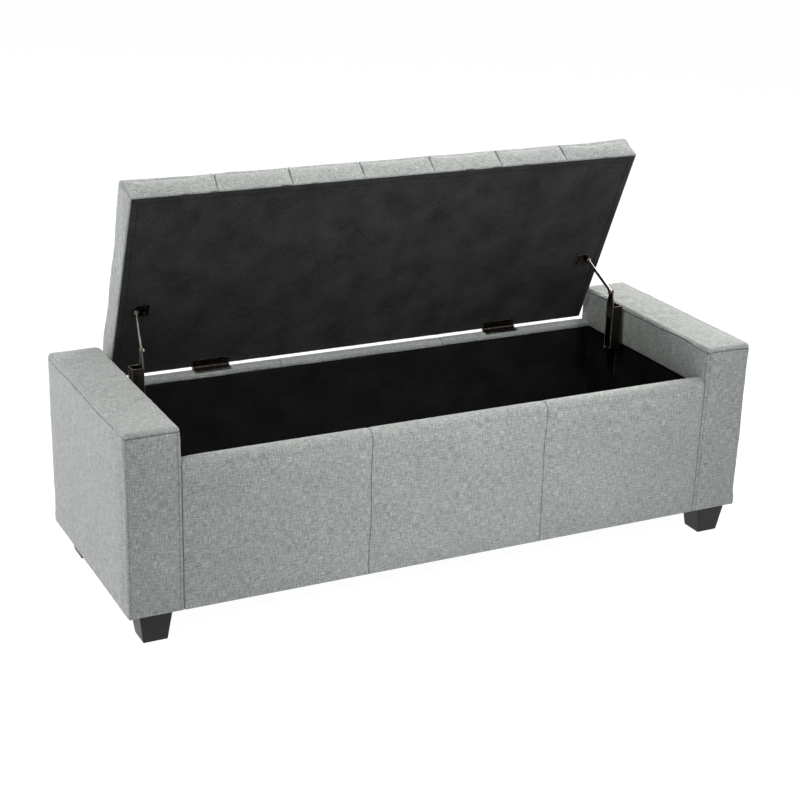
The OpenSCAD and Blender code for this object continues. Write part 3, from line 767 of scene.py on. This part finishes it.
def wall_cover(name, node, padding, outer_r, inner_r, outer_is_low, seed):
    """A padded wall: three panels, a rolled top, and ends tucked in at the arms."""
    lo, hi = node_box(node)
    middle = (lo[1] + hi[1]) / 2
    seam_xs = [-FRONT_SEAM_X, FRONT_SEAM_X]
    shell = Shell(
        graded([(lo[0], 0.5), (lo[0] + JOIN_R, 1.0), *[(x, 0.35) for x in seam_xs],
                (hi[0] - JOIN_R, 1.0), (hi[0], 0.5)], 5),
        graded([(lo[1], 1.2), (middle, 2.5), (hi[1], 1.2)], 4, 0.2),
        graded([(lo[2], 0.6), (lo[2] + LIP_R, 1.0), *step_marks(), (hi[2], 1.0)], 5),
    )
    p = shell.p
    y_out, y_in = (lo[1], hi[1]) if outer_is_low else (hi[1], lo[1])
    toward = np.sign(y_in - y_out)

    def shape(lattice):
        """A roll at the top, a tight fold at the bottom, and ends that shrink in at the arms."""
        p = lattice.p
        is_outer = (p[:, 1] - middle) * toward < 0
        high = p[:, 2] > lo[2] + 60
        r = np.where(high, np.where(is_outer, outer_r, inner_r), LIP_R)
        qy = np.where(is_outer, y_out + toward * r, y_in - toward * r)
        across = (p[:, 1] - qy) * toward
        dy = np.where(is_outer, np.minimum(across, 0), np.maximum(across, 0))
        qz = np.where(high, hi[2] - r, lo[2] + r)
        dz = np.where(high, np.maximum(p[:, 2] - qz, 0), np.minimum(p[:, 2] - qz, 0))
        squeeze = np.maximum(np.abs(dy), np.abs(dz)) / np.maximum(np.hypot(dy, dz), 1e-9)
        both = (np.abs(dy) > 1e-9) & (np.abs(dz) > 1e-9)
        out = p.copy()
        out[:, 1] = np.where(both, qy + toward * dy * squeeze, p[:, 1])
        out[:, 2] = np.where(both, qz + dz * squeeze, p[:, 2])
        into_end = np.maximum(JOIN_R - to_side(p, lo, hi, [0]), 0)
        inset = JOIN_R - np.sqrt(np.maximum(JOIN_R**2 - into_end**2, 0))
        for axis in (1, 2):
            centre, half = (hi[axis] + lo[axis]) / 2, (hi[axis] - lo[axis]) / 2
            out[:, axis] = centre + (out[:, axis] - centre) * (1 - inset / half)
        return out, normals_of(out, lattice.quads)

    def sewn(p):
        """All but the outer side's three panels, below the roll."""
        on_seam = nearest_of(p[:, 0], (lo[0], *seam_xs, hi[0])) < ON
        on_outer = np.abs(p[:, 1] - y_out) < ON
        return on_seam | ~on_outer | on_low(p, lo, 2) | on_high(p, hi, 2)

    out, n = shape(shell)
    end = to_side(p, lo, hi, [0])
    nearest = nearest_of(p[:, 0], seam_xs)
    fill = puff([nearest, end + 6], 24) * smooth((end - 0.5) / 2)
    # The roll's top stays level, because the lid comes down on it
    up = np.clip(n[:, 2], 0, 1)
    marks = [[lo[0], *seam_xs, hi[0]], [lo[1], middle, hi[1]], [lo[2], hi[2]]]
    move = swell(shell, marks, shape, sewn, pressure=4.0, cap=3.5, seed=seed)
    move[:, 2] = np.minimum(move[:, 2], 0.2)
    h = (0.35 * ripple(p, 160, seed) * fill + 0.15 * ripple(p, 40, seed + 1) * fill) * (1 - up)
    h += 0.22 * fade(nearest, 12) * ripple(p[:, 1:], 17, seed + 2) * (nearest > 1) * (1 - up)
    h += groove(nearest, 1.8, 1.0, 0.2 * (1 - up)) - 0.5 * (1 - up) - 0.3 * up
    # The roll is pulled down a little at the arms and at the seams
    h -= up * (1.6 * fade(end, 16) + 0.7 * fade(nearest, 7))
    h = np.where(p[:, 2] - lo[2] < 0.5, 0, h)
    out = out + n * h[:, None] + move
    for x in seam_xs:
        out[:, 0] += bell(p[:, 0] - x, 9) * 1.2 * ripple(p[:, 1:], 190, seed + 5 + int(x > 0))
    step_under(p, out, 1, y_out, y_in)
    turned_under(p, out, lo, hi)
    # Painted shade: the colour darkens along the seams and at the ends tucked in at the arms
    seam = np.clip(bell(nearest, 1.0) + 0.7 * bell(end, 1.4), 0, 1)
    obj = build(name, out, shell.quads, FABRIC, shell.uv(seed), seam)
    return dress(obj, "carcass", "upholstery_fabric", node, padding)


arm_cover(1, "right", 11)
arm_cover(-1, "left", 29)
wall_cover("front_upholstery", "front_cover", "front_padding", 17.0, 17.0, True, 41)
wall_cover("rear_upholstery", "rear_cover", "rear_padding", 17.0, 8.0, False, 53)

# ---------- lid ----------

LID_SEAMS = [(k + 0.5) * LID_COLUMN for k in range(-3, 3)]
LID_R = 8.0
LID_FOLD_R = 2.5
HEM = 13.0


def lid_shape(lattice):
    """A box with soft edges above, a tight fold round the underside, and fuller front corners."""
    lo, hi = LID_LO, LID_HI
    soft, n_soft = round_box(lattice.p, lo, hi, LID_R)
    tight, n_tight = round_box(lattice.p, lo, hi, LID_FOLD_R)
    w = smooth((lo[2] + 30 - lattice.p[:, 2]) / 24)[:, None]
    out = soft + (tight - soft) * w
    to_end = hi[0] - np.abs(out[:, 0])
    to_front = smooth((lo[1] + 170 - out[:, 1]) / 170)
    height = np.clip((out[:, 2] - lo[2]) / (hi[2] - lo[2]), 0, 1)
    out[:, 0] += np.sign(out[:, 0]) * (1.5 + 5.0 * to_front) * smooth((60 - to_end) / 60) * height
    out[:, 1] -= 3.0 * smooth((120 - to_end) / 120) * to_front * height
    return out, unit(n_soft + (n_tight - n_soft) * w)


def lid_sewn(p):
    """The underside, the seams across, and the mitred corners."""
    at_corner = on_edges(p[:, :2], LID_LO[:2], LID_HI[:2])
    return (nearest_of(p[:, 0], LID_SEAMS) < ON) | at_corner | on_low(p, LID_LO, 2)


def lid_cover():
    """The padded lid: seven columns sewn across from front to rear, with mitred corners."""
    lo, hi = LID_LO, LID_HI
    shell = Shell(
        graded([(lo[0], 0.8), (lo[0] + LID_R, 1.5), *[(s, 0.4) for s in LID_SEAMS],
                (hi[0] - LID_R, 1.5), (hi[0], 0.8)], 5),
        graded([(lo[1], 0.8), (lo[1] + LID_R, 1.5), (hi[1] - LID_R, 1.5), (hi[1], 0.8)], 5),
        graded([(lo[2], 0.6), (lo[2] + LID_FOLD_R, 0.8), (hi[2] - LID_R, 1.5), (hi[2], 1.0)], 4),
    )
    p = shell.p

    out, n = lid_shape(shell)
    nearest = nearest_of(p[:, 0], LID_SEAMS)
    is_end = on_low(p, lo, 0) | on_high(p, hi, 0)
    is_bottom, is_top = on_low(p, lo, 2), on_high(p, hi, 2)
    edge_x, edge_y = to_side(p, lo, hi, [0]), to_side(p, lo, hi, [1])
    up = np.clip((p[:, 2] - lo[2]) / (hi[2] - lo[2]), 0, 1)
    column = puff([nearest, edge_x + 10], 30)
    fill = np.where(is_top, column * puff([edge_y + 22], 40), column * up)
    fill = np.where(is_end, up, fill)
    marks = [[lo[0], *LID_SEAMS, hi[0]], [lo[1], hi[1]], [lo[2], hi[2]]]
    move = swell(shell, marks, lid_shape, lid_sewn, pressure=30.0, cap=6.0, seed=75)
    h = 0.5 * ripple(p, 120, 71) * fill + 0.2 * ripple(p, 36, 72) * fill
    tuck = fade(nearest, 14) * (nearest > 1) * ~is_end
    h += 0.35 * tuck * ripple(p[:, 1:], 16, 73)
    side_groove = np.where(is_end | is_bottom, FAR, nearest)
    mitre = np.where(is_bottom | is_top, FAR, edge_x + edge_y)
    # Beside the board the seams are only shallow
    h += groove(side_groove, 1.2, 1.2, 0.3) * (1 + smooth((p[:, 2] - lo[2] - 14) / 6))
    h += groove(mitre, 1.0, 1.2, 0.1)
    out = out + n * np.where(is_bottom, 0.0, h)[:, None] + move
    # On the sides the seams lean, as the cover was pulled on
    rng = np.random.default_rng(77)
    for s, lean in zip(LID_SEAMS, rng.uniform(7, 12, len(LID_SEAMS))):
        out[:, 0] += bell(p[:, 0] - s, 25) * lean * up
    out[is_bottom, 2] += 3.0 * smooth((to_side(p, lo, hi)[is_bottom] - 3) / 3)
    # Painted shade: the colour darkens along the seams and the mitred corners
    seam = np.clip(bell(side_groove, 1.1) + 0.7 * bell(mitre, 1.5), 0, 1)
    obj = build("lid_upholstery", out, shell.quads, FABRIC, shell.uv(70), seam, lid_to_open())
    return dress(obj, "lid", "upholstery_fabric", "lid_cover", "lid_foam")


def lid_underside():
    """Black cloth stapled over the lid's board, with its edge folded under into a hem."""
    inset = 1.2
    lo, hi = LID_LO + (inset, inset, 0), LID_HI - (inset, inset, 0)
    hi[2] = lo[2] + 1.0
    lines = [graded([(a, 0.8), (a + HEM, 0.5), (b - HEM, 0.5), (b, 0.8)], 6)
             for a, b in zip(lo[:2], hi[:2])]
    shell = Shell(*lines, [lo[2], hi[2]])
    p = shell.p
    out = p.copy()
    edge = to_side(p, lo, hi)
    is_bottom = on_low(p, lo, 2)
    wave = 0.8 * ripple(p[:, :2], 90, 81)
    lift = 0.5 * smooth((edge - HEM + wave + 0.6) / 1.2)
    lift += 0.12 * (1 + ripple(p[:, :2], 70, 82)) * smooth(edge / 20)
    lift += 0.5 * smooth((1.5 - edge) / 1.5)
    out[:, 2] += np.where(is_bottom, np.clip(lift, 0, 0.85), 0)
    for axis in (0, 1):
        out[:, axis] += 0.3 * ripple(p[:, 1 - axis][:, None], 60, 83 + axis) * (edge < 1)
    # Painted shade: the cloth's colour darkens along the hem's folded edge
    fold = bell(edge - HEM + wave, 1.3) * is_bottom
    obj = build("lid_underside_cloth", out, shell.quads, LID_LINING_PAINTED_LIGHT, shell.uv(80), fold, lid_to_open())
    return dress(obj, "lid", "lining_cloth", "lid_lining")


lid_cover()
lid_underside()

# ---------- storage lining and dust cover ----------


def thicken(obj, thickness):
    """Gives a single layer of cloth its thickness, behind the face that shows."""
    solidify = obj.modifiers.new("thickness", "SOLIDIFY")
    solidify.thickness = thickness * MM
    solidify.offset = -1


def storage_lining():
    """One sewn bag of black cloth: floor and four sides, its top edge tucked under the padding."""
    # The bag's sides lie just behind the faces of the CAD model's linings
    side_x = node_box("side_lining_right")[0][0] + 0.4
    front_y = node_box("front_lining")[1][1] - 0.2
    rear_y = node_box("rear_lining")[0][1] + 0.2
    floor_z = node_box("floor_lining")[1][2] + 0.2
    lo = np.array([-side_x, front_y, floor_z])
    hi = np.array([side_x, rear_y, LINING_TOP])
    lines = [graded([(a, 1.0), (a + 8, 2.0), (b - 8, 2.0), (b, 1.0)], 9)
             for a, b in zip(lo[:2], hi[:2])]
    levels = graded([(lo[2], 1.0), (lo[2] + 8, 2.0), (hi[2], 4.0)], 8)
    shell = Shell(*lines, levels, ("-x", "+x", "-y", "+y", "-z"))
    p = shell.p
    # Raising the box's top for the rounding leaves the open edge straight
    out, n = round_box(p, lo, hi + (0, 0, 60), 6.0)
    give = puff([p[:, 2] - lo[2], hi[2] - p[:, 2] + 2], 25)
    give = np.where(on_low(p, lo, 2), puff([to_side(p, lo, hi)], 25), give)
    waves = 0.9 * np.clip(ripple(p, 95, 91), -1.2, 2)
    wrinkles = 0.35 * np.clip(ripple(p, 33, 92), -1, 2)
    out = out - n * np.clip(give * (1.2 + waves + wrinkles), 0, 4)[:, None]
    obj = build("storage_lining", out, shell.quads[:, ::-1], LINING_PAINTED_SHADE, shell.uv(90)[:, ::-1])
    thicken(obj, 0.6)
    return dress(obj, "carcass", "lining_cloth", "floor_lining", "front_lining", "rear_lining",
                 "side_lining_left", "side_lining_right")


def dust_cover():
    """Black cloth under the body, stapled round its edge and cut out round the feet."""
    lo, hi = node_box("dust_cover")
    gap = 1.5
    cuts = [(a - gap, b + gap) for a, b in map(node_box, FEET)]

    def line(axis):
        """Places across the cloth and along the cuts, where those lie inside it."""
        marks = [(lo[axis], 2.0), (hi[axis], 2.0)]
        marks += [(corner[axis], 1.5) for cut in cuts for corner in cut]
        inside = {(round(float(np.clip(v, lo[axis], hi[axis])), 4), s) for v, s in marks}
        return graded(inside, 9)

    shell = Shell(line(0), line(1), [lo[2], hi[2]], ["-z"])
    p = shell.p
    centre = p[shell.quads].mean(1)
    keep = np.ones(len(centre), bool)
    for a, b in cuts:
        keep &= ~((centre > a) & (centre < b))[:, :2].all(1)
    quads, uv = shell.quads[keep], shell.uv(95)[keep]
    sag = puff([to_side(p, lo, hi)], 60) * (1.5 + 0.7 * np.clip(ripple(p[:, :2], 130, 96), -2, 2))
    near_foot = np.min([np.abs(p - (a + b) / 2)[:, :2].max(1) - 34 for a, b in cuts], axis=0)
    out = p.copy()
    out[:, 2] -= sag * smooth(near_foot / 25)
    used = np.unique(quads)
    remap = np.full(len(p), -1)
    remap[used] = np.arange(len(used))
    obj = build("dust_cover_cloth", out[used], remap[quads], LINING_PAINTED_SHADE, uv)
    thicken(obj, 0.8)
    return dress(obj, "carcass", "lining_cloth", "dust_cover")


storage_lining()
dust_cover()

# ---------- feet ----------


def foot(node):
    """A tapered square foot with softened edges."""
    lo, hi = node_box(node)
    centre = (lo + hi) / 2
    half_top, half_low = (hi[0] - lo[0]) / 2, FOOT_BOTTOM / 2
    r = 2.2
    lines = graded([(-1.0, 0.02), (-0.9, 0.05), (0.9, 0.05), (1.0, 0.02)], 0.25)
    zs = graded([(lo[2], 0.4), (lo[2] + r, 0.8), (hi[2] - 4, 1.0), (hi[2], 0.8)], 6)
    shell = Shell(lines * half_top, lines * half_top, zs)
    p = shell.p
    box_lo = np.array([-half_top, -half_top, lo[2]])
    out, _ = round_box(p, box_lo, -box_lo * (1, 1, 0) + (0, 0, hi[2] + r), r)
    out[:, 2] = np.minimum(out[:, 2], hi[2])
    t = (out[:, 2] - lo[2]) / (hi[2] - lo[2])
    taper = (half_low + (half_top - half_low) * t) / half_top
    out[:, :2] *= taper[:, None]
    out[:, :2] += centre[:2]
    obj = build(node + "_moulding", out, shell.quads, PLASTIC)
    return dress(obj, "carcass", "foot_plastic", node)


for node in FEET:
    foot(node)

# ---------- hinges, stays, screws and rivets ----------

# Faces that meet at more than this angle meet at an edge
EDGE_ANGLE = math.radians(35)


def finished(node, body, width, segments=2):
    """A copy of a CAD node with its facets joined into whole faces and its outer edges rounded."""
    bm = bmesh.new()
    bm.from_mesh(frame["nodes"][node].data)
    bmesh.ops.remove_doubles(bm, verts=bm.verts, dist=0.002 * MM)
    bmesh.ops.dissolve_limit(bm, angle_limit=math.radians(1), verts=bm.verts, edges=bm.edges)
    outer = bm.edges.layers.float.new("bevel_weight_edge")
    for edge in bm.edges:
        if edge.is_manifold and edge.is_convex and edge.calc_face_angle() > EDGE_ANGLE:
            edge[outer] = 1.0
    mesh = bpy.data.meshes.new(node + "_finished")
    bm.to_mesh(mesh)
    bm.free()
    mesh.polygons.foreach_set("use_smooth", [True] * len(mesh.polygons))
    mesh.set_sharp_from_angle(angle=EDGE_ANGLE)
    slot = slot_of[node]
    mesh.materials.append(SLOT_MATERIALS[slot])
    # Bronze parts get a second, lighter material on their bevels, a painted highlight along the edges
    if slot == "bronze_metal":
        mesh.materials.append(EDGE_HIGHLIGHT_BRONZE)
    obj = new_object(node + "_finished", mesh)
    bevel = obj.modifiers.new("edges", "BEVEL")
    bevel.width = width * MM
    bevel.segments = segments
    bevel.limit_method = "WEIGHT"
    bevel.harden_normals = True
    bevel.material = len(mesh.materials) - 1
    return dress(obj, body, slot, node)


def rings_to_quads(count, around):
    """Quads that join a number of rings of points, each to the next one."""
    k = np.arange(around)
    ahead = (k + 1) % around
    steps = [i * around for i in range(count - 1)]
    return np.concatenate([np.stack([i + k, i + around + k, i + around + ahead, i + ahead], 1)
                           for i in steps])


def screw_head(centre, axis, out_sign, radius, height):
    """Points and quads of one domed head with a cross recess; centre is on its seat."""
    around, rings = 48, 14
    r = np.concatenate([np.linspace(0, 0.94, rings), [1.0, 1.0]])
    turn = np.linspace(0, 2 * np.pi, around, endpoint=False)
    rr, tt = np.meshgrid(r * radius, turn, indexing="ij")
    x, y = rr * np.cos(tt), rr * np.sin(tt)
    dome = height * np.sqrt(np.clip(1 - 0.72 * (rr / radius) ** 2, 0, 1))
    across = np.minimum(np.abs(x), np.abs(y))
    along = np.maximum(np.abs(x), np.abs(y))
    walls = smooth((0.21 * radius - across) / (0.10 * radius))
    ends = smooth((0.64 * radius - along) / (0.14 * radius))
    dome -= 0.62 * height * (walls * ends)
    dome[-1] = 0
    p = np.stack([x, y, dome], -1).reshape(-1, 3)
    base = {"x": ((0, 0, out_sign), (0, 1, 0), (-out_sign, 0, 0)),
            "z": ((1, 0, 0), (0, out_sign, 0), (0, 0, out_sign))}[axis]
    return np.asarray(centre) + p @ np.array(base, float), rings_to_quads(len(r), around)


def screws(node, body, axis, toward, height, closed=False):
    """Detailed heads for all the screws of a node; toward says which way each head faces."""
    verts, quads, count = [], [], 0
    a = "xyz".index(axis)
    for lo, hi in solids_of(node, closed):
        centre = (lo + hi) / 2
        sign = toward(centre)
        radius = np.delete(hi - lo, a).max() / 2
        centre[a] = (hi[a] - height) if sign > 0 else (lo[a] + height)
        v, q = screw_head(centre, axis, sign, radius, height)
        verts.append(v)
        quads.append(q + count)
        count += len(v)
    move = lid_to_open() if closed else None
    slot = slot_of[node]
    obj = build(node + "_heads", np.concatenate(verts), np.concatenate(quads), SLOT_MATERIALS[slot],
                transform=move)
    obj.data.set_sharp_from_angle(angle=math.radians(50))
    return dress(obj, body, slot, node)


def spring(word):
    """A closed-coiled spring of round wire, in place of the plain tube."""
    lo, hi = node_box("stay_spring_" + word)
    centre = (lo + hi) / 2
    wire, sides = 0.8, 8
    turns, steps = 15.0, 300
    coil_r = (hi[0] - lo[0]) / 2 - wire
    t = np.linspace(0, 1, steps + 1)
    angle = 2 * np.pi * turns * t
    middle = np.stack([coil_r * np.cos(angle), coil_r * np.sin(angle),
                       lo[2] - centre[2] + wire + (hi[2] - lo[2] - 2 * wire) * t], 1)
    ahead = unit(np.gradient(middle, axis=0))
    outward = np.stack([np.cos(angle), np.sin(angle), np.zeros_like(t)], 1)
    above = np.cross(ahead, outward)
    phase = np.linspace(0, 2 * np.pi, sides, endpoint=False)[:, None]
    ring = outward[:, None] * np.cos(phase) + above[:, None] * np.sin(phase)
    verts = (middle[:, None] + wire * ring).reshape(-1, 3) + centre
    quads = rings_to_quads(steps + 1, sides)[:, [0, 3, 2, 1]]
    obj = build("stay_spring_%s_coil" % word, verts, quads, STEEL)
    return dress(obj, "stay_lever_" + word, "steel", "stay_spring_" + word)


for word in ("left", "right"):
    finished("hinge_body_leaf_" + word, "carcass", 0.9)
    finished("hinge_lid_leaf_" + word, "lid", 0.9)
    finished("stay_base_" + word, "carcass", 0.5)
    finished("stay_lever_" + word, "stay_lever_" + word, 0.4)
    finished("stay_link_" + word, "stay_link_" + word, 0.6)
    finished("stay_elbow_rivet_" + word, "stay_link_" + word, 0.8, 3)
    finished("stay_lid_bracket_" + word, "lid", 0.4)
    spring(word)
finished("hinge_pins", "carcass", 0.3)
finished("stay_base_rivets", "carcass", 0.9, 3)
finished("stay_lid_rivets", "lid", 0.7, 3)
screws("hinge_body_screws", "carcass", "z", lambda c: 1, 1.2)
screws("hinge_lid_screws", "lid", "z", lambda c: -1, 1.2, closed=True)
screws("stay_base_screws", "carcass", "x", lambda c: -np.sign(c[0]), 1.8)
screws("stay_lid_screws", "lid", "z", lambda c: -1, 1.6, closed=True)

# ---------- stage ----------

FLOOR = 20000.0
floor_white = Nodes("studio_floor")
floor_white.set(Base_Color=(0.10, 0.10, 0.10, 1), Roughness=1.0, Specular_IOR_Level=0.0)
floor_white.set(Emission_Color=(1, 1, 1, 1), Emission_Strength=0.98)
corners = [(-FLOOR, -FLOOR, 0), (FLOOR, -FLOOR, 0), (FLOOR, FLOOR, 0), (-FLOOR, FLOOR, 0)]
ground = build("studio_floor", corners, [(0, 1, 2, 3)], floor_white.material)

world = bpy.data.worlds.new("studio")
bpy.context.scene.world = world
world.use_nodes = True
sky = world.node_tree
sky.nodes["Background"].inputs[0].default_value = (0.97, 0.99, 1, 1)
# The sky is white at the horizon, where it meets the floor, and nearly black above
direction = sky.nodes.new("ShaderNodeSeparateXYZ")
sky.links.new(sky.nodes.new("ShaderNodeTexCoord").outputs["Generated"], direction.inputs[0])
fall = sky.nodes.new("ShaderNodeMapRange")
fall.interpolation_type = "SMOOTHSTEP"
for key, value in {"From Min": 0.07, "From Max": 0.17, "To Min": 1.0, "To Max": 0.05}.items():
    fall.inputs[key].default_value = value
sky.links.new(direction.outputs["Z"], fall.inputs[0])
sky.links.new(fall.outputs[0], sky.nodes["Background"].inputs[1])


def hang(name, data, place, target):
    """Adds a light at its place, turned to face the target."""
    light = new_object(name, data)
    light.location = place
    light.rotation_euler = (Vector(target) - Vector(place)).to_track_quat("-Z", "Y").to_euler()


def area_light(name, place, target, side, watts, colour):
    """A soft square light."""
    data = bpy.data.lights.new(name, "AREA")
    data.shape = "RECTANGLE"
    data.size = data.size_y = side
    data.energy = watts
    data.color = colour
    hang(name, data, place, target)


def spot_light(name, place, target, degrees, radius, watts):
    """A spot whose light fades all the way from its middle to its edge."""
    data = bpy.data.lights.new(name, "SPOT")
    data.energy = watts
    data.spot_size = math.radians(degrees)
    data.spot_blend = 1.0
    data.shadow_soft_size = radius
    hang(name, data, place, target)


# Two soft lights stand behind, so the open lid shades the left arm, and two hang in front;
# the spot brightens the middle of the front
WARM = (1, 0.965, 0.945)
area_light("rear_right", (2.6, 1.4, 2.2), (0.3, 0, 0.35), 1.6, 158, WARM)
area_light("rear_left", (-2.6, 1.4, 2.2), (-0.3, 0, 0.35), 1.6, 82, (1, 0.97, 0.98))
area_light("front_right", (2.0, -1.0, 3.2), (0, 0, 0.3), 1.5, 64, WARM)
area_light("front_left", (-1.8, -1.2, 3.2), (0, 0, 0.3), 1.5, 74, (1, 1, 0.93))
spot_light("front", (0.2, -2.8, 2.4), (0.05, -0.25, 0.33), 25, 0.3, 310)

# The camera stands where the photo's perspective puts it
CAMERA_PLACE = (-1.4509, -2.8171, 1.4804)
CAMERA_LENS = 76.95
CAMERA_SHIFT = (0.0135, 0.0708)
AZIMUTH, ELEVATION, ROLL = (math.radians(v) for v in (-26.88, 22.48, 1.69))
back = Vector((math.sin(AZIMUTH) * math.cos(ELEVATION), -math.cos(AZIMUTH) * math.cos(ELEVATION),
               math.sin(ELEVATION)))
level = (-back).cross(Vector((0, 0, 1))).normalized()
upright = back.cross(level)
right = math.cos(ROLL) * level + math.sin(ROLL) * upright
up = math.cos(ROLL) * upright - math.sin(ROLL) * level
camera_data = bpy.data.cameras.new("camera")
camera_data.lens = CAMERA_LENS
camera_data.sensor_width = 36
camera_data.shift_x, camera_data.shift_y = CAMERA_SHIFT
camera = new_object("camera", camera_data)
axes = Matrix((right, up, back)).transposed().to_4x4()
camera.matrix_world = Matrix.Translation(CAMERA_PLACE) @ axes
bpy.context.scene.camera = camera
bpy.context.scene.view_settings.view_transform = "Standard"
